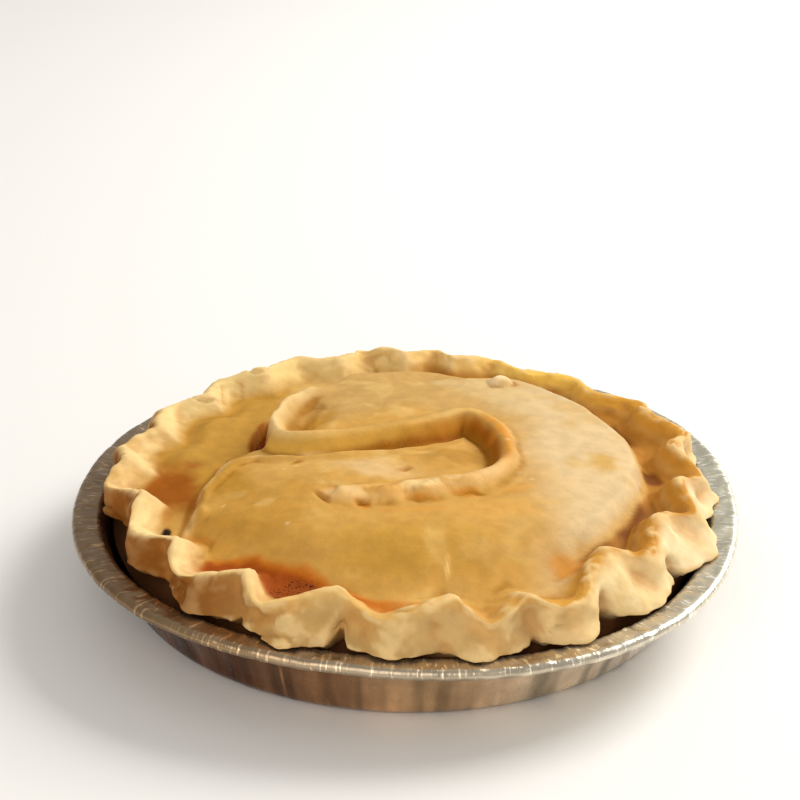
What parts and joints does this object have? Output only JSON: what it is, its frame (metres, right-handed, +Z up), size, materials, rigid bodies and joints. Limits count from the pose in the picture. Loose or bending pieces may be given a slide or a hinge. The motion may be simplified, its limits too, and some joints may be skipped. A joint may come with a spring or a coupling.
{
  "type": "pie in a foil pan",
  "caption": "Home-made double-crust pie with a hand-crimped edge and an S-shaped steam cut, baked in its round foil pan.",
  "frame": {"origin": "centre of the pan's flat base, on the surface that the pie stands on", "axes": "+Z up, out of the lid; -Y is the side with the browned front seam; +X is the side with the deepest folds"},
  "size_m": [0.2188, 0.2188, 0.0469],
  "materials": {
    "foil": "bright, lightly creased pressed foil",
    "pastry": "pale golden baked pastry, matt to satin, browned in the folds",
    "filling": "dark red-brown, wet and glossy"
  },
  "bodies": {
    "root": {"pan": "foil", "crust": "pastry", "filling": "filling"}
  },
  "joints": []
}
